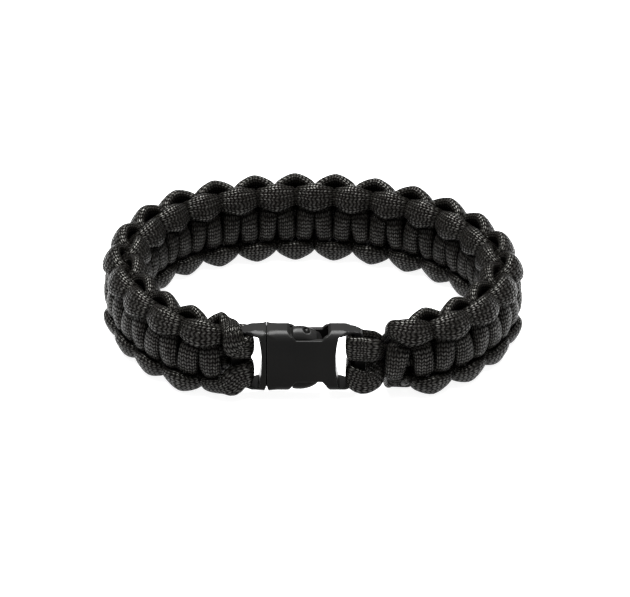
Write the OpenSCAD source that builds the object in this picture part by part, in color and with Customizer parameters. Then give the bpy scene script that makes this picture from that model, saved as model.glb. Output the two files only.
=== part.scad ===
// Paracord bracelet, closed and standing on its edge.
// A cobra weave of two cords is knotted round two core strands, and a side release buckle joins its ends.
// Local places are (along, across, out): along the loop from the buckle's middle, across the band, out from the wrist.

/* [Loop] */
// Width of the loop at the core, left to right
loop_w = 83.7; // [80:0.1:98]
// Depth of the loop at the core, front to back
loop_d = 60.1; // [56:0.1:72]

/* [Cord] */
// Diameter of the loose cord
cord_d = 4; // [3.5:0.1:4.2]
// Diameter of a core strand under tension
core_d = 2.8; // [2.4:0.1:2.9]

/* [Buckle] */
// Length of the closed buckle over both bars
buckle_l = 30.1; // [29:0.1:34]
// Width of the buckle
buckle_w = 15.4; // [14.6:0.1:17]
// Thickness of the buckle
buckle_t = 6.4; // [5.8:0.1:8]
// Distance from the plug's end to the seam
plug_l = 7.9; // [7.6:0.1:9]
// Width of each bar that carries cord
bar_w = 2.7; // [2.2:0.1:2.8]
// Thickness of each bar
bar_t = 3.1; // [2.8:0.1:3.4]
// Width of each cord slot at its ends
slot_w = 3.4; // [3:0.1:3.6]
// Width of the rail at each end of a cord slot
slot_rail = 1.1; // [1:0.05:1.3]
// How far the slot's far side bows out
slot_bow = 0.7; // [0.3:0.1:0.9]
// Radius of the buckle's long edges
edge_r = 1.7; // [0.8:0.1:2.2]
// Wall of the socket's front and back
socket_wall = 1.1; // [0.8:0.1:1.4]
// Wall of the socket's sides
side_wall = 0.9; // [0.7:0.1:1.3]
// Depth of the release windows in the socket's sides
window_depth = 2.4; // [1.8:0.1:2.8]
// Distance from the seam to a release window
window_inset = 4.7; // [4.4:0.1:5.2]
// Wall between a release window and the slot
window_wall = 1.1; // [0.9:0.1:1.6]
// Radius of the bulge of a release prong
prong_r = 5.6; // [4.8:0.1:6.2]
// Diameter of the moulding hole in each prong
prong_hole_d = 1.2; // [0.8:0.1:1.6]

/* [Fit] */
// Gap between the plug and the socket
fit_gap = 0.2; // [0.1:0.05:0.4]
// Gap between a cord and what it lies on
cord_gap = 0.12; // [0.08:0.02:0.3]

/* [Hidden] */
$fn = 48;
cord_color = [0.13, 0.13, 0.12];
core_color = [0.11, 0.11, 0.10];
buckle_color = [0.10, 0.10, 0.10];
cord_sides = 8;

// The knot pulls tight on the cord, so the band's sizes follow the cord
band_w = 4.92 * cord_d;
band_t = 2.25 * cord_d;
target_pitch = 2.24 * cord_d;
core_across = (core_d + cord_gap) / 2;
rim = band_w / 2;
face = band_t / 2;

// Where the two bars are, and where the first and last knots stand off them
bar_at = (buckle_l - bar_w) / 2;
head_reach = 2.2 * cord_d;
tail_reach = 1.3 * cord_d;
// Middle of the strand that fills the slot beside a bar
slot_strand_t = 0.44 * cord_d;
slot_strand = bar_w / 2 + cord_gap + slot_strand_t / 2;
bar_strand_t = 0.55 * cord_d;
bar_strand_out = bar_t / 2 + cord_gap + bar_strand_t / 2;
strand_w = 1.3 * cord_d;
upper_tail_w = 1.25 * cord_d;
lower_tail_w = 1.45 * cord_d;
hitch_w = 1.38 * cord_d;
// Where the upper and lower strands lie across the left bar and the right bar
slot_l = buckle_w - 2 * slot_rail;
left_upper = 0.295 * slot_l;
left_lower = 0.215 * slot_l;
right_upper = 0.265 * slot_l;
right_lower = 0.275 * slot_l;

// Route of the loop seen from above, in shares of half its width and half its depth.
// The buckle lies in the middle of the straight stretch between the first two points.
ACROSS_SHARE = 0;
DEPTH_SHARE = 1;
route = [
    [-0.28, -1.005], [0.13, -1.005], [0.54, -1.005], [0.84, -0.775],
    [1.06, -0.195], [0.93, 0.375], [0.575, 0.845], [0.02, 1.055],
    [-0.63, 0.905], [-0.92, 0.505], [-1.08, -0.155], [-0.70, -1.005]
];
route_steps = 10;

function route_point(i) =
    let (q = route[(i + len(route)) % len(route)])
    [q[ACROSS_SHARE] * loop_w / 2, q[DEPTH_SHARE] * loop_d / 2];
function route_curve(v) =
    let (i = floor(v), u = v - i)
    (pow(1 - u, 3) * route_point(i - 1)
     + (3 * pow(u, 3) - 6 * u * u + 4) * route_point(i)
     + (-3 * pow(u, 3) + 3 * u * u + 3 * u + 1) * route_point(i + 1)
     + pow(u, 3) * route_point(i + 2)) / 6;
route_n = len(route) * route_steps;
route_pts = [for (i = [0:route_n]) route_curve(0.5 + i / route_steps)];
route_len = [for (i = 0, l = 0; i <= route_n;
    l = l + (i < route_n ? norm(route_pts[i + 1] - route_pts[i]) : 0), i = i + 1) l];
loop_len = route_len[route_n];
route_x = [for (i = [0:route_n]) [route_len[i], route_pts[i][0]]];
route_y = [for (i = [0:route_n]) [route_len[i], route_pts[i][1]]];

function wrap(s) = s - loop_len * floor(s / loop_len);
function loop_at(s) = [lookup(wrap(s), route_x), lookup(wrap(s), route_y)];
function loop_dir(s) = let (reach = cord_d / 4, d = loop_at(s + reach) - loop_at(s - reach)) d / norm(d);
// A local place put onto the loop, with the band standing on its lower rim
function place(p) =
    let (c = loop_at(p[0]), d = loop_dir(p[0]))
    [c[0] + p[2] * d[1], c[1] - p[2] * d[0], p[1] + rim];

// The legs of the weave, an even number of them, from the right bar round to the left bar
free_len = loop_len - 2 * bar_at - head_reach - tail_reach;
legs = 2 * round((2 * free_len / target_pitch + 1) / 2);
half_pitch = free_len / (legs - 1);
first_leg = bar_at + head_reach;

// One quarter of the knot, from the edge of a leg to the tip of its bight at the rim.
// Places are shares of the half pitch, the rim and the face, and sizes are shares of the cord's diameter.
// Roll turns the section's wide side from the loop's direction, and tilt leans it from across to out.
ALONG = 0;
ACROSS = 1;
OUT = 2;
WIDE = 3;
THICK = 4;
ROLL = 5;
TILT = 6;
quarter = [
    [0.05, 0.246, 0.684, 0.96, 0.63, 6, 90],
    [0.243, 0.50, 0.04, 0.925, 0.508, -94, 51],
    [0.273, 0.663, -0.434, 1.05, 0.582, -86, 37],
    [-0.50, 0.709, -0.711, 1.47, 0.66, -90, 27]
];

// A ring is [place, wide, thick, direction of the wide side]
function aim(roll, tilt) = [cos(roll), sin(roll) * cos(tilt), sin(roll) * sin(tilt)];
function times(a, b) = [a[0] * b[0], a[1] * b[1], a[2] * b[2]];
// The first leg has no neighbour on the buckle's side, so its end spreads that way and out to the rim
first_turn = [[3, 1, 1, 1], [1.75, 1.2, 3, 1], [1.75, 1.15, 0.9, 0.85]];
function ease(k, half, row) = (k == 0 && half == 1 && row < 3) ? first_turn[row] : [1, 1, 1, 1];
// Leg k, half -1 before its middle or 1 after it; side is 1 for the front cord and -1 for the back cord
function knot_ring(k, half, row, side) =
    let (q = quarter[row],
         sign = (k % 2 == 0) ? 1 : -1,
         turn = [-half, -half * side * sign, side],
         reach = times(ease(k, half, row), [half_pitch, rim, face]))
    [[first_leg + k * half_pitch, 0, 0] + times(times([q[ALONG], q[ACROSS], q[OUT]], reach), turn),
     ease(k, half, row)[3] * q[WIDE] * cord_d, q[THICK] * cord_d,
     sign * half * times(aim(q[ROLL], q[TILT]), turn)];
function knot_rings(side, first_row) = concat(
    [for (row = [first_row:-1:0]) knot_ring(0, -1, row, side)],
    [for (k = [0:legs - 1]) each concat(
        k == 0 ? [] : [for (row = [2:-1:0]) knot_ring(k, -1, row, side)],
        [for (row = [0:(k == legs - 1 ? 2 : 3)]) knot_ring(k, 1, row, side)])]);

// Rows past the last knot and round a bar: along is the distance from the bar's middle, away from the buckle
function right_bar(rows) = [for (r = rows)
    [[bar_at + r[ALONG], r[ACROSS], r[OUT]], r[WIDE], r[THICK], aim(r[ROLL], r[TILT])]];
function left_bar(rows) = [for (r = rows)
    [[loop_len - bar_at - r[ALONG], r[ACROSS], r[OUT]], r[WIDE], r[THICK], aim(r[ROLL], r[TILT])]];

// The rings of a cord put onto the loop and skinned
function ring_corners(c, tangent, r) =
    let (w0 = r[3] - (r[3] * tangent) * tangent,
         w = w0 / norm(w0),
         n = cross(tangent, w),
         grow = 1 / cos(180 / cord_sides))
    [for (i = [0:cord_sides - 1])
        let (a = (i + 0.5) * 360 / cord_sides)
        place(c + grow * (cos(a) * r[1] / 2 * w + sin(a) * r[2] / 2 * n))];
function unit(v) = v / norm(v);
// Each face between two rings is folded along its longer diagonal, which keeps a twisted stretch slim
module cord(rings) {
    n = len(rings);
    pts = [for (i = [0:n - 1]) each ring_corners(rings[i][0],
        unit(rings[min(i + 1, n - 1)][0] - rings[max(i - 1, 0)][0]), rings[i])];
    function at(i, j) = i * cord_sides + j % cord_sides;
    function fold(a, b, c, d) = norm(pts[a] - pts[c]) > norm(pts[b] - pts[d])
        ? [[a, b, c], [a, c, d]]
        : [[b, c, d], [b, d, a]];
    sides = [for (i = [0:n - 2], j = [0:cord_sides - 1])
        each fold(at(i, j), at(i + 1, j), at(i + 1, j + 1), at(i, j + 1))];
    ends = [[for (j = [0:cord_sides - 1]) at(0, j)], [for (j = [cord_sides - 1:-1:0]) at(n - 1, j)]];
    polyhedron(pts, concat(sides, ends), convexity = 10);
}

// The two working cords turn from the last knot over the left bar and into its slot
function into_slot(across, wide) = [
    [-0.93 * slot_strand, across, bar_strand_out - 0.15 * bar_strand_t, wide, slot_strand_t, 270, 0],
    [-slot_strand, across, bar_t / 2, wide, slot_strand_t, 270, 0],
    [-slot_strand, across, cord_gap / 2, wide, slot_strand_t, 270, 0]
];
front_tail = left_bar(concat([
    [0.85 * half_pitch, 0.75 * rim, -0.64 * face, 1.15 * cord_d, 0.6 * cord_d, 90, 27],
    [0.38 * half_pitch, 0.79 * rim, -0.12 * face, 0.9 * cord_d, 0.52 * cord_d, 178, 0],
    [0.22 * half_pitch, 0.72 * rim, 0.64 * face, 0.92 * cord_d, 0.52 * cord_d, 198, 0],
    [0.14 * half_pitch, 0.51 * rim, 0.84 * face, 1.25 * cord_d, bar_strand_t, 225, 0],
    [-0.08 * half_pitch, 1.02 * left_upper, bar_strand_out + 0.025 * cord_d, upper_tail_w, bar_strand_t, 252, 0]
], into_slot(left_upper, upper_tail_w)));
back_tail = left_bar(concat([
    [0.78 * half_pitch, -0.62 * rim, 0.70 * face, 1.15 * cord_d, 0.56 * cord_d, 270, 27],
    [0.28 * half_pitch, -0.55 * rim, 0.78 * face, 1.3 * cord_d, bar_strand_t, 280, 0],
    [-0.05 * half_pitch, -1.3 * left_lower, bar_strand_out + 0.1 * cord_d, lower_tail_w, bar_strand_t, 285, 0]
], into_slot(-left_lower, lower_tail_w)));

// The core starts behind the left bar, runs through the weave to the right bar,
// and comes back the same way after a loop that catches both strands behind that bar
function behind_slot(across, wide) = [
    [-slot_strand, across, -cord_gap / 2, wide, slot_strand_t, 90, 0],
    [-slot_strand, across, -bar_t / 2, wide, slot_strand_t, 90, 0],
    [-0.93 * slot_strand, across, -bar_strand_out + 0.15 * bar_strand_t, wide, slot_strand_t, 90, 0]
];
function core_half(left_at, right_at, sag) = concat(
    left_bar(concat(behind_slot(left_at, strand_w), [
        [0, 0.95 * left_at, -bar_strand_out, strand_w, bar_strand_t, 90, 0],
        [0.36 * half_pitch, 0.66 * left_at, 0.025 * cord_d - bar_strand_out, 1.2 * core_d, 0.65 * core_d, 90, 0],
        [0.74 * half_pitch, core_across, -0.02 * face, core_d, 0.85 * core_d, 90, 0]
    ])),
    [for (k = [legs - 1:-1:0])
        [[first_leg + k * half_pitch, core_across, 0], core_d, core_d, aim(90, 0)]],
    right_bar(concat([
        [1.45 * half_pitch, core_across, 0.02 * face, core_d, core_d, 90, 0],
        [1.05 * half_pitch, 0.48 * right_at, 0.3 * face, 0.78 * cord_d, bar_strand_t, 90, 0],
        [0.62 * half_pitch, (0.95 + 0.2 * sag) * right_at, 0.66 * face, 1.25 * cord_d, 0.6 * cord_d, 90, 0],
        [0.1 * half_pitch, (1 + 0.25 * sag) * right_at, bar_strand_out + 0.2 * sag * cord_d, hitch_w, bar_strand_t, 90, 0],
        [-0.93 * slot_strand, right_at, bar_strand_out - 0.15 * bar_strand_t, hitch_w, slot_strand_t, 90, 0],
        [-slot_strand, right_at, bar_t / 2, hitch_w, slot_strand_t, 90, 0]
    ], behind_slot(right_at, hitch_w), [
        [0.1 * half_pitch, (0.75 + 0.2 * sag) * right_at, -bar_strand_out, cord_d, bar_strand_t, 90, 0],
        [0.58 * half_pitch, (0.6 + 0.35 * sag) * right_at, -0.82 * face, cord_d, bar_strand_t, 75, 0],
        [0.86 * half_pitch, 0.36 * right_at, -0.88 * face, 0.95 * cord_d, bar_strand_t, 30, 0]
    ])));
function other_strand(rings) = [for (i = [len(rings) - 1:-1:0])
    let (r = rings[i]) [times(r[0], [1, -1, 1]), r[1], r[2], times(r[3], [1, -1, 1])]];

module front_cord()
    color(cord_color) cord(concat(knot_rings(1, 1), front_tail));

module back_cord()
    color(cord_color) cord(concat(knot_rings(-1, 2), back_tail));

module core_cord()
    color(core_color)
        cord(concat(core_half(left_upper, right_upper, 0), other_strand(core_half(left_lower, right_lower, 1))));

// The buckle is drawn with its length along X, its width along Y and its front up, then stood on the loop
module stand_buckle()
    translate([loop_at(0)[0], loop_at(0)[1], rim])
        rotate([90, 0, 0])
            children();

seam = plug_l - buckle_l / 2;
seam_bevel = 0.5;
seam_drop = 0.5;
notch_above = 0.5;
notch_below = 1.4;
neck_l = 2;
end_taper = 0.8;
end_bow = 0.9;
corner_cut = 1.6;
shoulder = 0.33 * buckle_w;
slot_start = buckle_l / 2 - bar_w - slot_w - slot_bow;
cavity_end = slot_start - side_wall;
window_start = seam + window_inset;
window_end = slot_start - window_wall;
window_slope = 1.9;
over = cord_d / 2;

// Half outline of the width, from the seam to the bowed end over the bar, with the corner cut back
function end_outline(from, w, notch) =
    [[from, w - notch], [from + min(seam_bevel, notch), w], [buckle_l / 2 - shoulder, w],
     [buckle_l / 2 - 1.5 * end_bow, w - end_taper], [buckle_l / 2 - end_bow, w - corner_cut],
     [buckle_l / 2 - 0.2 * end_bow, 0.45 * w], [buckle_l / 2, 0.15 * w]];
function both_sides(p, q) = concat(p, [for (i = [len(q) - 1:-1:0]) [q[i][0], -q[i][1]]]);

// The rounded section of the buckle, drawn across its length
module buckle_section() {
    for (x = [-1, 1], y = [-1, 1])
        translate([x * (buckle_w / 2 - edge_r), y * (buckle_t / 2 - edge_r)])
            circle(edge_r);
    square([buckle_w - 2 * edge_r, buckle_t], center = true);
    square([buckle_w, buckle_t - 2 * edge_r], center = true);
}

// The side view thins towards the seam and towards the bar
module side_profile(from) {
    crown_end = buckle_l / 2 - 1.7 * slot_w;
    crown_start = min(from + 0.35 * buckle_t, crown_end - 0.1);
    top = [[from, buckle_t / 2 - seam_drop], [crown_start, buckle_t / 2], [crown_end, buckle_t / 2],
           [buckle_l / 2 - bar_w - 0.45 * slot_w, bar_t / 2 + 0.2 * buckle_t / 2], [buckle_l / 2 - bar_w, bar_t / 2],
           [buckle_l / 2, 0.32 * bar_t]];
    rotate([90, 0, 0])
        linear_extrude(buckle_w + over, center = true)
            polygon(both_sides(top, top));
}

module slot() {
    bow_r = (slot_l * slot_l / 4 + slot_bow * slot_bow) / (2 * slot_bow);
    linear_extrude(buckle_t + over, center = true)
        intersection() {
            translate([slot_start - over, -slot_l / 2])
                square([slot_w + slot_bow + over, slot_l]);
            translate([slot_start + bow_r, 0])
                circle(bow_r, $fn = 120);
        }
}

// One half of the closed buckle, from the seam to its bar
module buckle_half(from)
    difference() {
        intersection() {
            translate([from, 0, 0])
                rotate([90, 0, 90])
                    linear_extrude(buckle_l / 2 - from)
                        buckle_section();
            linear_extrude(buckle_t, center = true)
                polygon(both_sides(end_outline(from, buckle_w / 2, notch_above), end_outline(from, buckle_w / 2, notch_below)));
            side_profile(from);
        }
        slot();
    }

module buckle_socket()
    color(buckle_color)
        stand_buckle()
            difference() {
                buckle_half(seam + fit_gap / 2);
                // channel for the prongs
                translate([(seam + cavity_end - over) / 2, 0, 0])
                    cube([cavity_end - seam + over, buckle_w - 2 * side_wall, buckle_t - 2 * socket_wall], center = true);
                // release windows
                for (y = [-1, 1])
                    linear_extrude(buckle_t + over, center = true)
                        polygon([[window_start - 0.25 * window_depth, y * (buckle_w / 2 + 0.25 * window_depth)],
                                 [window_start + window_slope, y * (buckle_w / 2 - window_depth)],
                                 [window_end - window_slope, y * (buckle_w / 2 - window_depth)],
                                 [window_end + 0.25 * window_depth, y * (buckle_w / 2 + 0.25 * window_depth)]]);
            }

// A prong of the plug: an arm along the channel's side and a head that bulges into the release window
module prong() {
    arm_out = buckle_w / 2 - side_wall - fit_gap;
    arm_w = 0.1 * buckle_w;
    thick = buckle_t - 2 * socket_wall - 2 * fit_gap;
    head_x = window_start + 0.27 * (window_end - window_start);
    head_start = window_start + 0.55 * window_slope;
    head_end = min(cavity_end - fit_gap, head_x + prong_r);
    difference() {
        union() {
            translate([seam - side_wall, arm_out - arm_w, -thick / 2])
                cube([head_x - seam + side_wall, arm_w, thick]);
            linear_extrude(thick, center = true)
                intersection() {
                    translate([head_x, buckle_w / 2 - 0.3 - prong_r])
                        circle(prong_r, $fn = 96);
                    translate([head_start, arm_out - 1.75 * arm_w])
                        square([head_end - head_start, 1.75 * arm_w + side_wall]);
                }
        }
        translate([head_x + 1.35 * prong_hole_d, buckle_w / 2 + prong_hole_d, 0])
            rotate([90, 0, 0])
                cylinder(h = 2 * prong_hole_d, d = prong_hole_d);
    }
}

module buckle_plug()
    color(buckle_color)
        stand_buckle() {
            mirror([1, 0, 0])
                buckle_half(fit_gap / 2 - seam);
            prong();
            mirror([0, 1, 0])
                prong();
            // neck inside the socket's mouth, where the prongs start
            translate([seam, 0, 0])
                cube([neck_l, buckle_w - 2 * side_wall - 2 * fit_gap, buckle_t - 2 * socket_wall - 2 * fit_gap], center = true);
        }

buckle_socket();
buckle_plug();
core_cord();
front_cord();
back_cord();
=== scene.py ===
import math

import bpy
import numpy as np
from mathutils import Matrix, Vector


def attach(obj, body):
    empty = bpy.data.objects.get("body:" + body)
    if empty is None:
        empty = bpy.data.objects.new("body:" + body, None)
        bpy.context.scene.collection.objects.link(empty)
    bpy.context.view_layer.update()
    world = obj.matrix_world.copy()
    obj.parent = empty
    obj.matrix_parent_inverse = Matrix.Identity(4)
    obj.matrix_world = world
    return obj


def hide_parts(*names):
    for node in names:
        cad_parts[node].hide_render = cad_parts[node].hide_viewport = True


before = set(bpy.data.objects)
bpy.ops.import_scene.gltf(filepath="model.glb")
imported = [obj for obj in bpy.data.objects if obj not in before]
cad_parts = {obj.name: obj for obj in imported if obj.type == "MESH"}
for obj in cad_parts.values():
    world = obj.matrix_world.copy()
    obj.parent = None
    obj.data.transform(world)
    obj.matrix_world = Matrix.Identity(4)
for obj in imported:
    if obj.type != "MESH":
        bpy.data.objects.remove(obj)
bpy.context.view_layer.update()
MM = 0.001

# Sizes of the loop, the cord and the buckle, in millimetres, as in the part's source
LOOP_W = 83.7
LOOP_D = 60.1
CORD_D = 4.0
CORE_D = 2.8
BUCKLE_L = 30.1
BUCKLE_W = 15.4
BUCKLE_T = 6.4
BAR_W = 2.7
BAR_T = 3.1
SLOT_RAIL = 1.1
GAP = 0.12
LEGS = 44

# Half the band's width and thickness, the core strands' place, the bars' places on the loop
# and how far from the bars the first and the last leg lie
RIM = 2.46 * CORD_D
FACE = 1.125 * CORD_D
CORE_ACROSS = (CORE_D + GAP) / 2
BAR_AT = (BUCKLE_L - BAR_W) / 2
HEAD_REACH = 2.2 * CORD_D
TAIL_REACH = 1.3 * CORD_D

# The pressed cord in a slot and over a bar: its thickness, and how far it lies from the bar's middle
SLOT_T = 0.44 * CORD_D
TAIL_SLOT_T = 0.58 * CORD_D
BAR_STRAND_T = 0.55 * CORD_D
SLOT_AT = BAR_W / 2 + GAP + SLOT_T / 2
TAIL_AT = BAR_W / 2 + GAP + TAIL_SLOT_T / 2
BAR_OUT = BAR_T / 2 + GAP + BAR_STRAND_T / 2

# The pressed cord's width in the slots, and how far up or down each strand passes through them
STRAND_W = 1.3 * CORD_D
UPPER_TAIL_W = 1.25 * CORD_D
LOWER_TAIL_W = 1.45 * CORD_D
HITCH_W = 1.38 * CORD_D
SLOT_L = BUCKLE_W - 2 * SLOT_RAIL
LEFT_UP = 0.295 * SLOT_L
LEFT_LOW = 0.215 * SLOT_L
RIGHT_UP = 0.265 * SLOT_L
RIGHT_LOW = 0.275 * SLOT_L

# The loop seen from above, as shares of half its width and half its depth. It starts half way
# between its first two points, at the buckle's middle.
ROUTE_START = 0.5
ROUTE_STEPS = 120
ROUTE = np.array([
    [-0.28, -1.005], [0.13, -1.005], [0.54, -1.005], [0.84, -0.775],
    [1.06, -0.195], [0.93, 0.375], [0.575, 0.845], [0.02, 1.055],
    [-0.63, 0.905], [-0.92, 0.505], [-1.08, -0.155], [-0.70, -1.005],
]) * [LOOP_W / 2, LOOP_D / 2]


def spline(points, v):
    """Closed cubic B-spline through the route, at parameter v."""
    i = np.floor(v).astype(int)
    u = (v - i)[:, None]
    p = [points[(i + d) % len(points)] for d in (-1, 0, 1, 2)]
    return ((1 - u) ** 3 * p[0] + (3 * u**3 - 6 * u**2 + 4) * p[1]
            + (-3 * u**3 + 3 * u**2 + 3 * u + 1) * p[2] + u**3 * p[3]) / 6


route_pts = spline(ROUTE, ROUTE_START + np.linspace(0, len(ROUTE), ROUTE_STEPS + 1))
route_len = np.concatenate([[0], np.cumsum(np.linalg.norm(np.diff(route_pts, axis=0), axis=1))])
LOOP_LEN = route_len[-1]
# The first leg's place on the loop, and the way from each leg to the next
FIRST = BAR_AT + HEAD_REACH
HALF = (LOOP_LEN - 2 * BAR_AT - HEAD_REACH - TAIL_REACH) / (LEGS - 1)


def loop_at(s):
    """The loop's x and y, in millimetres, at the length s from the buckle's middle."""
    s = np.mod(s, LOOP_LEN)
    x = np.interp(s, route_len, route_pts[:, 0])
    y = np.interp(s, route_len, route_pts[:, 1])
    return np.stack([x, y], -1)


def place(p):
    """Local places (along, across, out), in millimetres, put onto the loop, in metres."""
    along, across, out = p[..., 0], p[..., 1], p[..., 2]
    middle = loop_at(along)
    ahead = loop_at(along + CORD_D / 4) - loop_at(along - CORD_D / 4)
    ahead /= np.linalg.norm(ahead, axis=-1, keepdims=True)
    x = middle[..., 0] + out * ahead[..., 1]
    y = middle[..., 1] - out * ahead[..., 0]
    return np.stack([x, y, across + RIM], -1) * MM


def aim(roll, tilt):
    """The way a ring's width points: roll turns it from along to across, and tilt from there outwards."""
    r = math.radians(roll)
    t = math.radians(tilt)
    return np.array([math.cos(r), math.sin(r) * math.cos(t), math.sin(r) * math.sin(t)])


# One quarter of the knot, from the edge of a leg to the tip of its bight. Its columns are
# along, across, out, wide, thick, roll, tilt:
# the first three as shares of HALF, RIM and FACE, the next two of the cord, the last two in degrees
QUARTER = [
    (0.05, 0.246, 0.684, 0.96, 0.63, 6, 90),
    (0.243, 0.50, 0.04, 0.925, 0.508, -94, 51),
    (0.273, 0.663, -0.434, 1.05, 0.582, -86, 37),
    (-0.50, 0.709, -0.711, 1.47, 0.66, -90, 27),
]
# The first leg has no neighbour on the buckle's side, so it spreads that way and out to the rim:
# for each side and half, and for each row of the quarter, factors on along, across, out and wide
FIRST_TURN = {
    (1, -1): [(-3.5, 1, 1, 1.18), (-0.1, 1, 1, 1.1)],
    (1, 1): [(7, 1, 1, 1.06), (1.95, 1.15, 3, 1), (1.9, 1.08, 0.9, 0.9)],
    (-1, 1): [(7, 1, 1, 1), (2.05, 1.1, 3, 1.05), (1.05, 1.19, 0.9, 0.97), (1, 1.08, 1, 1)],
}


def knot_ring(k, half, row, side):
    """A ring of leg k: its middle, its width and thickness, and the way its width points."""
    along, across, out, wide, thick, roll, tilt = QUARTER[row]
    turns = FIRST_TURN.get((side, half), []) if k == 0 else []
    ease = turns[row] if row < len(turns) else (1, 1, 1, 1)
    sign = 1 if k % 2 == 0 else -1
    turn = np.array([-half, -half * side * sign, side])
    middle = np.array([along, across, out]) * ease[:3] * [HALF, RIM, FACE] * turn
    middle = np.array([FIRST + k * HALF, 0, 0]) + middle
    return middle, ease[3] * wide * CORD_D, thick * CORD_D, sign * half * aim(roll, tilt) * turn


def knots(side, first_row):
    """A working cord's rings through all legs, on the outer side, 1, or the inner side, -1."""
    rings = [knot_ring(0, -1, row, side) for row in range(first_row, -1, -1)]
    for k in range(LEGS):
        if k:
            rings += [knot_ring(k, -1, row, side) for row in (2, 1, 0)]
        rings += [knot_ring(k, 1, row, side) for row in range(3 if k == LEGS - 1 else 4)]
    return rings


# The tables of rings beside the bars have the columns
# along from the bar, across, out, wide, thick, roll, tilt, in millimetres and degrees
def right_bar(rows):
    return [(np.array([BAR_AT + along, across, out]), wide, thick, aim(roll, tilt))
            for along, across, out, wide, thick, roll, tilt in rows]


def left_bar(rows):
    return [(np.array([LOOP_LEN - BAR_AT - along, across, out]), wide, thick, aim(roll, tilt))
            for along, across, out, wide, thick, roll, tilt in rows]


def into_slot(across, wide):
    """A tail's end, from the bar's front into the slot."""
    return [
        (-0.95 * TAIL_AT, across, BAR_OUT - 0.15 * BAR_STRAND_T, wide, TAIL_SLOT_T, 270, 0),
        (-TAIL_AT, across, BAR_T / 2, wide, TAIL_SLOT_T, 270, 0),
        (-TAIL_AT, across, GAP / 2, wide, TAIL_SLOT_T, 270, 0),
    ]


front_tail = left_bar([
    (0.85 * HALF, 0.75 * RIM, -0.64 * FACE, 1.15 * CORD_D, 0.6 * CORD_D, 90, 27),
    (0.38 * HALF, 0.78 * RIM, -0.12 * FACE, 0.98 * CORD_D, 0.58 * CORD_D, 178, 0),
    (0.17 * HALF, 0.77 * RIM, 0.62 * FACE, 0.98 * CORD_D, 0.56 * CORD_D, 198, 0),
    (0.03 * HALF, 0.54 * RIM, 0.83 * FACE, 1.15 * CORD_D, BAR_STRAND_T, 225, 0),
    (-0.08 * HALF, 1.02 * LEFT_UP, BAR_OUT + 0.025 * CORD_D, UPPER_TAIL_W, BAR_STRAND_T, 252, 0),
] + into_slot(LEFT_UP, UPPER_TAIL_W))
back_tail = left_bar([
    (0.78 * HALF, -0.62 * RIM, 0.70 * FACE, 1.15 * CORD_D, 0.56 * CORD_D, 270, 27),
    (0.28 * HALF, -0.55 * RIM, 0.78 * FACE, 1.3 * CORD_D, BAR_STRAND_T, 280, 0),
    (-0.05 * HALF, -1.3 * LEFT_LOW, BAR_OUT + 0.1 * CORD_D, LOWER_TAIL_W, BAR_STRAND_T, 285, 0),
] + into_slot(-LEFT_LOW, LOWER_TAIL_W))


def behind_slot(across, wide):
    """A strand through the slot, from the bar's middle to its back."""
    return [
        (-SLOT_AT, across, -GAP / 2, wide, SLOT_T, 90, 0),
        (-SLOT_AT, across, -BAR_T / 2, wide, SLOT_T, 90, 0),
        (-0.93 * SLOT_AT, across, -BAR_OUT + 0.15 * BAR_STRAND_T, wide, SLOT_T, 90, 0),
    ]


def core_half(left_at, right_at, sag):
    """One core strand, from behind the left bar through the band to the hitch on the right bar."""
    rings = left_bar(behind_slot(left_at, STRAND_W) + [
        (0, 0.95 * left_at, -BAR_OUT, STRAND_W, BAR_STRAND_T, 90, 0),
        (0.36 * HALF, (0.66 + 0.34 * sag) * left_at, 0.025 * CORD_D - BAR_OUT,
         (1.2 + 0.5 * sag) * CORE_D, (0.65 + 0.2 * sag) * CORE_D, 90, 0),
        (0.74 * HALF, CORE_ACROSS, -0.02 * FACE, 1.05 * CORE_D, 0.85 * CORE_D, 90, 0),
    ])
    for k in range(LEGS - 1, -1, -1):
        rings.append((np.array([FIRST + k * HALF, CORE_ACROSS, 0]), CORE_D, CORE_D, aim(90, 0)))
    rings += right_bar([
        (1.45 * HALF, CORE_ACROSS, 0.02 * FACE, CORE_D, CORE_D, 90, 0),
        (1.05 * HALF, 0.48 * right_at, 0.3 * FACE, 0.78 * CORD_D, BAR_STRAND_T, 90, 0),
        (0.62 * HALF, (0.95 + 0.2 * sag) * right_at, 0.66 * FACE, 1.25 * CORD_D, 0.6 * CORD_D, 90, 0),
        (0.1 * HALF, (1 + 0.25 * sag) * right_at, BAR_OUT + 0.2 * sag * CORD_D, HITCH_W, BAR_STRAND_T, 90, 0),
        (-0.93 * SLOT_AT, right_at, BAR_OUT - 0.15 * BAR_STRAND_T, HITCH_W, SLOT_T, 90, 0),
        (-SLOT_AT, right_at, BAR_T / 2, HITCH_W, SLOT_T, 90, 0),
    ] + behind_slot(right_at, HITCH_W) + [
        (0.1 * HALF, (0.75 + 0.4 * sag) * right_at, -BAR_OUT, 1.15 * CORD_D, BAR_STRAND_T, 90, 0),
        (0.58 * HALF, (0.6 + 0.55 * sag) * right_at, -0.82 * FACE,
         (1 + 0.25 * sag) * CORD_D, BAR_STRAND_T, 75, 0),
        (0.86 * HALF, 0.36 * right_at, -0.88 * FACE, 0.95 * CORD_D, BAR_STRAND_T, 30, 0),
    ])
    return rings


def other_strand(rings):
    """The lower core strand, which is run the other way round."""
    flip = np.array([1, -1, 1])
    return [(middle * flip, wide, thick, way * flip) for middle, wide, thick, way in rings[::-1]]


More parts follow.
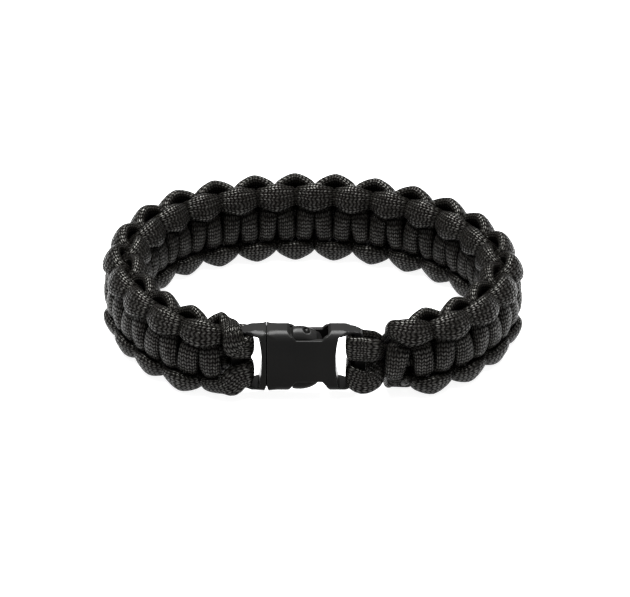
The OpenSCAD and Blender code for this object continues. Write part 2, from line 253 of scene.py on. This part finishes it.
def smooth_rings(rings, step):
    """Rings set step apart along a smooth curve through the given ones, with the arc length of each."""
    middle = np.array([ring[0] for ring in rings])
    size = np.array([[ring[1], ring[2]] for ring in rings])
    wide = np.array([ring[3] for ring in rings])
    chord = np.linalg.norm(np.diff(middle, axis=0), axis=1)
    knot = np.concatenate([[0], np.cumsum(np.sqrt(chord))])
    slope = np.gradient(middle, knot, axis=0)
    at = []
    for i, length in enumerate(chord):
        n = max(2, int(round(length / step)))
        at += [knot[i] + (knot[i + 1] - knot[i]) * j / n for j in range(n)]
    at = np.array(at + [knot[-1]])
    i = np.clip(np.searchsorted(knot, at, side="right") - 1, 0, len(chord) - 1)
    span = (knot[i + 1] - knot[i])[:, None]
    u = (at - knot[i])[:, None] / span
    centre = ((2 * u**3 - 3 * u**2 + 1) * middle[i] + (u**3 - 2 * u**2 + u) * span * slope[i]
              + (-2 * u**3 + 3 * u**2) * middle[i + 1] + (u**3 - u**2) * span * slope[i + 1])
    ease = 3 * u**2 - 2 * u**3
    size = size[i] * (1 - ease) + size[i + 1] * ease
    wide = wide[i] * (1 - ease) + wide[i + 1] * ease
    tangent = np.gradient(centre, axis=0)
    tangent /= np.linalg.norm(tangent, axis=1)[:, None]
    wide -= (wide * tangent).sum(1)[:, None] * tangent
    wide /= np.linalg.norm(wide, axis=1)[:, None]
    run = np.concatenate([[0], np.cumsum(np.linalg.norm(np.diff(centre, axis=0), axis=1))])
    return centre, size, wide, np.cross(tangent, wide), run


def new_object(name, data):
    """An object in the scene that shows the given data."""
    obj = bpy.data.objects.new(name, data)
    bpy.context.scene.collection.objects.link(obj)
    return obj


# The soft sheath bulges past the pressed sections, which are squarer than an ellipse (power 2).
# A cord's end is rounded like a melted one, down to the last share of its section.
FULLNESS = 1.09
SQUARE = 2.3
END_R = 0.7
END_SHARE = 0.02
SIDES = 24
STEP = 0.4


def tube(name, rings):
    """A cord's sheath: rounded sections along the rings, closed at both ends, and the map of its weave."""
    centre, size, wide, thick, run = smooth_rings(rings, STEP)
    a = np.arange(SIDES) * 2 * math.pi / SIDES
    ca = np.sign(np.cos(a)) * np.abs(np.cos(a)) ** (2 / SQUARE)
    sa = np.sign(np.sin(a)) * np.abs(np.sin(a)) ** (2 / SQUARE)
    end = np.minimum(run, run[-1] - run)
    shrink = np.sqrt(np.clip(1 - np.clip(1 - end / END_R, 0, 1) ** 2, END_SHARE, 1))
    half = size / 2 * FULLNESS * shrink[:, None]
    local = (centre[:, None] + half[:, 0, None, None] * ca[None, :, None] * wide[:, None]
             + half[:, 1, None, None] * sa[None, :, None] * thick[:, None])
    verts = place(local).reshape(-1, 3)
    rows = len(centre)
    i, j = np.meshgrid(np.arange(rows - 1), np.arange(SIDES), indexing="ij")
    k = (j + 1) % SIDES
    quads = np.stack([i * SIDES + j, i * SIDES + k, (i + 1) * SIDES + k, (i + 1) * SIDES + j], -1)
    caps = [list(range(SIDES - 1, -1, -1)), list(range((rows - 1) * SIDES, rows * SIDES))]
    mesh = bpy.data.meshes.new(name)
    mesh.from_pydata(verts.tolist(), [], quads.reshape(-1, 4).tolist() + caps)
    # the map's u runs evenly round each section, and its v is the length along the cord
    ring = half[:, None] * np.stack([ca, sa], -1)[None]
    steps = np.linalg.norm(np.roll(ring, -1, 1) - ring, axis=2)
    round_u = np.concatenate([np.zeros((rows, 1)), np.cumsum(steps, 1) / steps.sum(1)[:, None]], 1)
    ij = np.stack([i, j, i, j + 1, i + 1, j + 1, i + 1, j], -1).reshape(-1, 4, 2)
    weave = np.stack([round_u[ij[..., 0], ij[..., 1]], run[ij[..., 0]]], -1).reshape(-1, 2)
    weave = np.vstack([weave, np.zeros((2 * SIDES, 2))])
    uv = mesh.uv_layers.new(name="weave")
    uv.data.foreach_set("uv", weave.astype(np.float32).ravel())
    mesh.polygons.foreach_set("use_smooth", [True] * len(mesh.polygons))
    mesh.update()
    return new_object(name, mesh)


class Nodes:
    """Short calls for building a material's node tree."""

    def __init__(self, name):
        self.mat = bpy.data.materials.new(name)
        self.mat.use_nodes = True
        self.tree = self.mat.node_tree
        self.shader = self.tree.nodes["Principled BSDF"]

    def add(self, kind, **props):
        node = self.tree.nodes.new(kind)
        for key, value in props.items():
            setattr(node, key, value)
        return node

    def fill(self, slot, value):
        """Links another node's output to an input, or sets the input's own value."""
        if isinstance(value, bpy.types.NodeSocket):
            self.tree.links.new(value, slot)
        else:
            slot.default_value = value

    def shade(self, name, value):
        """The same for one of the shader's own inputs."""
        self.fill(self.shader.inputs[name], value)

    def math(self, op, a, b=0.0, clamp=False):
        node = self.add("ShaderNodeMath", operation=op, use_clamp=clamp)
        self.fill(node.inputs[0], a)
        self.fill(node.inputs[1], b)
        return node.outputs[0]

    def coords(self):
        """Places in the object, in metres."""
        return self.add("ShaderNodeTexCoord").outputs["Object"]

    def split(self, vector):
        node = self.add("ShaderNodeSeparateXYZ")
        self.fill(node.inputs[0], vector)
        return node.outputs

    def noise(self, vector, scale, detail=2.0):
        """Soft patches from 0 to 1, scale of them to the metre."""
        node = self.add("ShaderNodeTexNoise")
        self.fill(node.inputs["Scale"], scale)
        self.fill(node.inputs["Detail"], detail)
        self.fill(node.inputs["Vector"], vector)
        return node.outputs["Fac"]

    def ramp(self, value, stops):
        """Colours run through the stops, each a value and its colour."""
        node = self.add("ShaderNodeValToRGB")
        ramp = node.color_ramp
        while len(ramp.elements) < len(stops):
            ramp.elements.new(0.5)
        for element, (at, colour) in zip(ramp.elements, stops):
            element.position = at
            element.color = (*colour, 1)
        self.fill(node.inputs[0], value)
        return node.outputs[0]

    def relief(self, height, strength, depth):
        """Bumps on the surface, their depth in millimetres."""
        node = self.add("ShaderNodeBump")
        self.fill(node.inputs["Strength"], strength)
        self.fill(node.inputs["Distance"], depth * MM)
        self.fill(node.inputs["Height"], height)
        self.shade("Normal", node.outputs[0])


def grey(v, warm=0.0):
    """A grey of the brightness v, with a little more red and a little less blue by warm."""
    return (v * (1 + warm), v, v * (1 - 1.6 * warm))


def tones(base, table):
    """A ramp's stops from a table of places, shares of the brightness base, and warmths."""
    return [(at, grey(base * share, warm)) for at, share, warm in table]


# The sheath is a braid of crossing strands. Its picks lie in columns along the cord and slant
# the other way in each next column, so that zigzag rows run round it.
# Lengths are in millimetres, the slant and the wobble are shares of a pick, the filaments of its height
COLUMNS = 22.0
PICK = 0.8
SLANT = 0.56
WOBBLE = 0.9
WOBBLE_NOISE = 320.0
FILAMENT = 0.15
FILAMENT_NOISE = 3200.0
FILAMENT_DETAIL = 1.0
SHEATH_RELIEF = 0.2
# The powers that round a pick's flanks and its ends
FLANK_POWER = 2.0
END_POWER = 3.0

# Tones of a pick from its hollow to its top, painted shade in the hollows and a painted highlight on the
# tops: height, share of the cord's brightness, warmth
PICK_SHADE_AND_HIGHLIGHT_TONES = [(0.0, 0.25, 0.03), (0.5, 0.7, 0.07), (1.0, 1.4, 0.1)]
SHEATH_ROUGH = 0.3
SHEATH_TINT = (1, 0.985, 0.92, 1)
WORN_LEAST = 0.6
WORN_SPREAD = 0.8
WORN_NOISE = 900.0

# Each pick's filaments stretch its glint: how strongly, and how far it turns for each of the two slants.
# Only the picks' tops shine, some more than others.
GLINT_STRETCH = 0.8
GLINT_TURN = 0.355
GLINT_SWING = 0.29
GLINT_POWER = 5.0
PATCHY = 1.95
PATCHY_POWER = 1.8
PATCHY_NOISE = 1100.0


def picks(n, coords):
    """The braid's height from 0 to 1, and 1 in the columns that lean one way, else 0."""
    round_u, along, _ = n.split(n.add("ShaderNodeUVMap", uv_map="weave").outputs[0])
    u = n.math("MULTIPLY", round_u, COLUMNS)
    fold = n.math("PINGPONG", u, 1.0)
    leaning = n.math("LESS_THAN", n.math("FRACT", n.math("MULTIPLY", u, 0.5)), 0.5)
    v = n.math("ADD", n.math("DIVIDE", along, PICK), n.math("MULTIPLY", fold, SLANT))
    uneven = n.math("SUBTRACT", n.noise(coords, WOBBLE_NOISE), 0.5)
    v = n.math("ADD", v, n.math("MULTIPLY", uneven, WOBBLE))
    shape = []
    for at, power in ((n.math("FRACT", v), FLANK_POWER), (n.math("FRACT", u), END_POWER)):
        off = n.math("ABSOLUTE", n.math("SUBTRACT", n.math("MULTIPLY", at, 2.0), 1.0))
        shape.append(n.math("SQRT", n.math("SUBTRACT", 1.0, n.math("POWER", off, power), clamp=True)))
    return n.math("MULTIPLY", shape[0], shape[1]), leaning


def sheath_material(name, base, gloss):
    """A braided cord of the brightness base, with painted shade in the picks' hollows and a painted highlight
    on their tops, its glints as strong as gloss.
    """
    n = Nodes(name)
    coords = n.coords()
    pick, leaning = picks(n, coords)
    filaments = n.math("MULTIPLY", n.noise(coords, FILAMENT_NOISE, FILAMENT_DETAIL), FILAMENT)
    n.relief(n.math("ADD", pick, filaments), 1.0, SHEATH_RELIEF)
    worn = n.math("ADD", n.math("MULTIPLY", n.noise(coords, WORN_NOISE), WORN_SPREAD), WORN_LEAST)
    # the colour follows each pick's height: painted shade in its hollows, a painted highlight on its top,
    # varied in random patches
    n.shade("Base Color", n.ramp(n.math("MULTIPLY", pick, worn), tones(base, PICK_SHADE_AND_HIGHLIGHT_TONES)))
    # the filaments run along each pick, so it glints across its slant, and its hollows don't
    n.shade("Anisotropic", GLINT_STRETCH)
    n.shade("Anisotropic Rotation", n.math("ADD", n.math("MULTIPLY", leaning, GLINT_SWING), GLINT_TURN))
    n.shade("Tangent", n.add("ShaderNodeTangent", direction_type="UV_MAP", uv_map="weave").outputs[0])
    shine = n.math("MULTIPLY", n.math("POWER", pick, GLINT_POWER), gloss)
    patchy = n.math("POWER", n.math("MULTIPLY", n.noise(coords, PATCHY_NOISE), PATCHY), PATCHY_POWER)
    n.shade("Specular IOR Level", n.math("MULTIPLY", shine, patchy))
    n.shade("Specular Tint", SHEATH_TINT)
    n.shade("Roughness", SHEATH_ROUGH)
    return n.mat


# Tones of the plastic's soft clouds: cloud, share of its brightness, warmth
PLASTIC_TONES = [(0.25, 0.85, 0.01), (0.75, 1.15, 0.02)]
CLOUD_NOISE = 90.0
GRAIN_NOISE = 1900.0
GRAIN_DETAIL = 3.0
GRAIN_STRENGTH = 0.35
GRAIN_RELIEF = 0.02
# Its roughness and shine on the rounded edges, and what the flat front and back add or lose
FLAT_POWER = 4.0
EDGE_ROUGH = 0.27
CLOUD_ROUGH = 0.1
FLAT_ROUGH = 0.2
EDGE_SHINE = 0.12
FLAT_SHINE_LOSS = 0.105


def plastic_material(name, base):
    """Moulded plastic of the brightness base: flat faces matt from the mould, rounded edges polished."""
    n = Nodes(name)
    coords = n.coords()
    cloud = n.noise(coords, CLOUD_NOISE)
    n.shade("Base Color", n.ramp(cloud, tones(base, PLASTIC_TONES)))
    facing = n.split(n.add("ShaderNodeNewGeometry").outputs["Normal"])
    flat = n.math("POWER", n.math("ABSOLUTE", facing[1]), FLAT_POWER)
    rough = n.math("ADD", n.math("MULTIPLY", cloud, CLOUD_ROUGH), EDGE_ROUGH)
    n.shade("Roughness", n.math("ADD", n.math("MULTIPLY", flat, FLAT_ROUGH), rough))
    n.shade("Specular IOR Level", n.math("SUBTRACT", EDGE_SHINE, n.math("MULTIPLY", flat, FLAT_SHINE_LOSS)))
    n.relief(n.noise(coords, GRAIN_NOISE, GRAIN_DETAIL), GRAIN_STRENGTH, GRAIN_RELIEF)
    return n.mat


cord_mat = sheath_material("cord_sheath", base=0.0027, gloss=0.36)
core_mat = sheath_material("core_sheath", base=0.003, gloss=0.34)
buckle_mat = plastic_material("buckle_plastic", base=0.0058)

front = tube("front_cord_sheath", knots(1, 1) + front_tail)
back = tube("back_cord_sheath", knots(-1, 2) + back_tail)
upper_core = core_half(LEFT_UP, RIGHT_UP, 0)
lower_core = other_strand(core_half(LEFT_LOW, RIGHT_LOW, 1))
core = tube("core_cord_sheath", upper_core + lower_core)
for obj, node, mat, slot in ((front, "front_cord", cord_mat, "cord"), (back, "back_cord", cord_mat, "cord"),
                             (core, "core_cord", core_mat, "core")):
    obj.data.materials.append(mat)
    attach(obj, "root")
    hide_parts(node)

# The buckle's two halves, in millimetres from its middle: along it, out to its front and up its width.
# The exact solid's places: its edges, its seam and notch, the release windows and the prongs' heads
PLUG_L = 7.9
WINDOW_INSET = 4.7
WINDOW_DEPTH = 2.4
EDGE_R = 1.7
SEAM = PLUG_L - BUCKLE_L / 2
SEAM_DROP = 0.5
SEAM_LAND = 0.1
CROWN = 0.35 * BUCKLE_T
NOTCH = 0.5
WINDOW_START = SEAM + WINDOW_INSET
WINDOW_END = 7.15
WINDOW_FLOOR = BUCKLE_W / 2 - WINDOW_DEPTH
HEAD_START = -1.4
HEAD_END = 5.74
HEAD_T = 3.8
HOLE_AT = 1.8

# How the moulded surface differs from it: rounder long edges, and how much of the seam's drop is
# left. At its top, how much of the notch is filled and how far its sides come together.
SOFT_R = 2.1
SEAM_KEPT = 0.2
NOTCH_FILL = 0.7
NOTCH_CLOSE = 0.1
NOTCH_REACH = 1.6

# A prong's head comes forward, gets thicker and stands higher, with its sides falling off in an arch
HEAD_FORWARD = 0.7
HEAD_THICKER = 0.4
HEAD_HIGHER = 0.5
HEAD_ARCH = 1.4
HEAD_EASE = 0.3
HEAD_BASE = 0.5

# The hole in it is a dent, its place out to the front given for the upper and the lower prong
HOLE_OUT_UP = 1.15
HOLE_OUT_LOW = 0.7
HOLE_FLOOR_R = 0.4
HOLE_RIM_R = 0.85
HOLE_DEPTH = 1.2

# The socket's walls between the windows lie a little higher: farther out at the top, in at the bottom
WINDOW_UP = 0.5
WINDOW_LOW = -0.4
WINDOW_EASE = 1.4
WALL_EASE = 1.5
WALL_TOP = 0.5

# The even mesh laid over the solid, in millimetres, and how often it is smoothed
VOXEL = 0.14
SMOOTHED = 6


def rise(x, start, end):
    """0 before start, 1 after end, and eased between them."""
    u = np.clip((x - start) / (end - start), 0, 1)
    return u * u * (3 - 2 * u)


def edge_half(up, r):
    """Half the buckle's thickness at a height, its long edges rounded by r."""
    past = np.clip(np.abs(up) - (BUCKLE_W / 2 - r), 0, r * 0.98)
    return BUCKLE_T / 2 - r + np.sqrt(r * r - past * past)


def ease_seam(along, out, up):
    """The two halves meet nearly flush, and the notch over the seam is shallow."""
    off_seam = np.abs(along - SEAM)
    drop = np.clip(1 - (off_seam - SEAM_LAND) / CROWN, 0, 1)
    out = out * (BUCKLE_T / 2 - SEAM_KEPT * SEAM_DROP * drop) / (BUCKLE_T / 2 - SEAM_DROP * drop)
    at_top = rise(up, BUCKLE_W / 2 - NOTCH_REACH, BUCKLE_W / 2 - NOTCH)
    up = up + NOTCH_FILL * np.clip(NOTCH + SEAM_LAND - off_seam, 0, NOTCH) * at_top
    along = along - NOTCH_CLOSE * np.sign(along - SEAM) * (1 - rise(off_seam, SEAM_LAND, NOTCH)) * at_top
    return along, out, up


def ease_head(along, out, up):
    """A prong's head is arched, with a round dent near its tip. Gives the new out and height."""
    high = np.abs(up)
    head = rise(high, WINDOW_FLOOR, WINDOW_FLOOR + HEAD_BASE)
    head = head * rise(along, HEAD_START - HEAD_EASE, HEAD_START + 0.1) * (along < HEAD_END + HEAD_EASE)
    share = np.clip(out / (HEAD_T / 2), -1, 1)
    out = out + head * (HEAD_FORWARD * (1 - share**2) + HEAD_THICKER * out)
    hole_out = np.where(up > 0, HOLE_OUT_UP, HOLE_OUT_LOW)
    hole = 1 - rise(np.hypot(along - HOLE_AT, out - hole_out), HOLE_FLOOR_R, HOLE_RIM_R)
    return out, high + head * (HEAD_HIGHER - HEAD_ARCH * share**2 - HOLE_DEPTH * hole)


def ease_window(along, up):
    """The height of the socket's walls, moved inside the release windows."""
    high = np.abs(up)
    inside = (rise(along, WINDOW_START, WINDOW_START + WINDOW_EASE)
              * (1 - rise(along, WINDOW_END - WINDOW_EASE, WINDOW_END)))
    below = rise(high, WINDOW_FLOOR - WALL_EASE, WINDOW_FLOOR)
    above = 1 - rise(high, WINDOW_FLOOR + WALL_TOP, BUCKLE_W / 2)
    return high + np.where(up > 0, WINDOW_UP, WINDOW_LOW) * inside * below * above


def ease_half(along, out, up, plug):
    """The moulded surface is rounder than the exact solid, in its edges, seam, prong heads and windows."""
    along, out, up = ease_seam(along, out, up)
    if plug:
        out, high = ease_head(along, out, up)
    else:
        high = ease_window(along, up)
    up = high * np.sign(up)
    return along, out * edge_half(up, SOFT_R) / edge_half(up, EDGE_R), up


def buckle_skin(node, name):
    """A fine even mesh over the exact solid, then eased."""
    obj = new_object(name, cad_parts[node].data.copy())
    obj.data.materials.clear()
    remesh = obj.modifiers.new("even", "REMESH")
    remesh.mode = "VOXEL"
    remesh.voxel_size = VOXEL * MM
    graph = bpy.context.evaluated_depsgraph_get()
    mesh = bpy.data.meshes.new_from_object(obj.evaluated_get(graph))
    obj.modifiers.clear()
    obj.data = mesh
    co = np.empty(len(mesh.vertices) * 3, np.float32)
    mesh.vertices.foreach_get("co", co)
    x, y, z = co.reshape(-1, 3).astype(float).T / MM
    middle = loop_at(np.array(0.0))
    along, out, up = ease_half(x - middle[0], middle[1] - y, z - RIM, node == "buckle_plug")
    co = np.stack([along + middle[0], middle[1] - out, up + RIM], -1) * MM
    mesh.vertices.foreach_set("co", co.astype(np.float32).ravel())
    mesh.polygons.foreach_set("use_smooth", [True] * len(mesh.polygons))
    mesh.update()
    smooth = obj.modifiers.new("soft_edges", "SMOOTH")
    smooth.factor = 0.5
    smooth.iterations = SMOOTHED
    mesh.materials.append(buckle_mat)
    return obj


for node in ("buckle_socket", "buckle_plug"):
    obj = buckle_skin(node, node + "_skin")
    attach(obj, "root")
    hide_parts(node)

# The floor is a sheet of paper that glows a little, as on a light table, so that shadows stay faint.
# Half its side is in metres.
FLOOR_R = 5.5
FLOOR_GLOW = 0.9
PAPER_NOISE = 30.0
PAPER_TONES = [(0.3, grey(0.37)), (0.7, grey(0.39))]


def paper_floor():
    """A wide square under the bracelet, at the height of its lower rim."""
    n = Nodes("floor_paper")
    n.shade("Base Color", n.ramp(n.noise(n.coords(), PAPER_NOISE), PAPER_TONES))
    n.shade("Roughness", 0.8)
    n.shade("Emission Color", (1, 1, 1, 1))
    n.shade("Emission Strength", FLOOR_GLOW)
    n.shade("Specular IOR Level", 0.2)
    r = FLOOR_R
    mesh = bpy.data.meshes.new("floor")
    mesh.from_pydata([(-r, -r, 0), (r, -r, 0), (r, r, 0), (-r, r, 0)], [], [(0, 1, 2, 3)])
    mesh.materials.append(n.mat)
    return new_object("floor", mesh)


def turn_to(obj, at, way):
    """Puts a lamp or the camera at a place, looking the given way."""
    obj.location = at
    obj.rotation_mode = "QUATERNION"
    obj.rotation_quaternion = way.to_track_quat("-Z", "Y")


# Lamps as name, place, size, power, in metres and watts, and the world's even light
LAMPS = [
    ("top", (0.0, 0.1, 0.9), (0.85, 0.65), 42),
    ("key", (-0.3, 0.0, 0.8), (0.3, 0.3), 5),
]
LIT = Vector((0, 0, 0.01))
WORLD_LIGHT = 0.48


def area(name, at, size, power):
    """A soft lamp turned to the bracelet's middle."""
    light = bpy.data.lights.new(name, "AREA")
    light.shape = "RECTANGLE"
    light.size, light.size_y = size
    light.energy = power
    turn_to(new_object(name, light), at, LIT - Vector(at))


def pale_world(strength):
    """Even white light from all round."""
    world = bpy.data.worlds.new("studio")
    world.use_nodes = True
    background = world.node_tree.nodes["Background"]
    background.inputs["Color"].default_value = (1, 1, 1, 1)
    background.inputs["Strength"].default_value = strength
    bpy.context.scene.world = world


# The photo's angle and scale. The picture is centred a little below a place in the bracelet,
# both in millimetres.
ELEVATION = math.radians(31.456)
PX_MM = 4.467
WIDTH_PX = 630
SENSOR = 36
DISTANCE = 4.5
VIEW_AT = (0.505, 0, 9.6)
VIEW_DROP = 2.69


def photo_camera():
    """A long lens at the photo's angle, set so that the bracelet lies where it does there."""
    data = bpy.data.cameras.new("camera")
    data.sensor_width = SENSOR
    data.lens = SENSOR * DISTANCE / (WIDTH_PX / PX_MM * MM)
    data.clip_start, data.clip_end = 0.5, 40
    camera = new_object("camera", data)
    up = Vector((0, math.sin(ELEVATION), math.cos(ELEVATION)))
    towards_camera = Vector((0, -math.cos(ELEVATION), math.sin(ELEVATION)))
    target = Vector(VIEW_AT) * MM - up * VIEW_DROP * MM
    turn_to(camera, target + towards_camera * DISTANCE, -towards_camera)
    bpy.context.scene.camera = camera


floor = paper_floor()
for lamp in LAMPS:
    area(*lamp)
pale_world(WORLD_LIGHT)
photo_camera()
bpy.context.scene.view_settings.view_transform = "Standard"
bpy.context.scene.view_settings.look = "None"
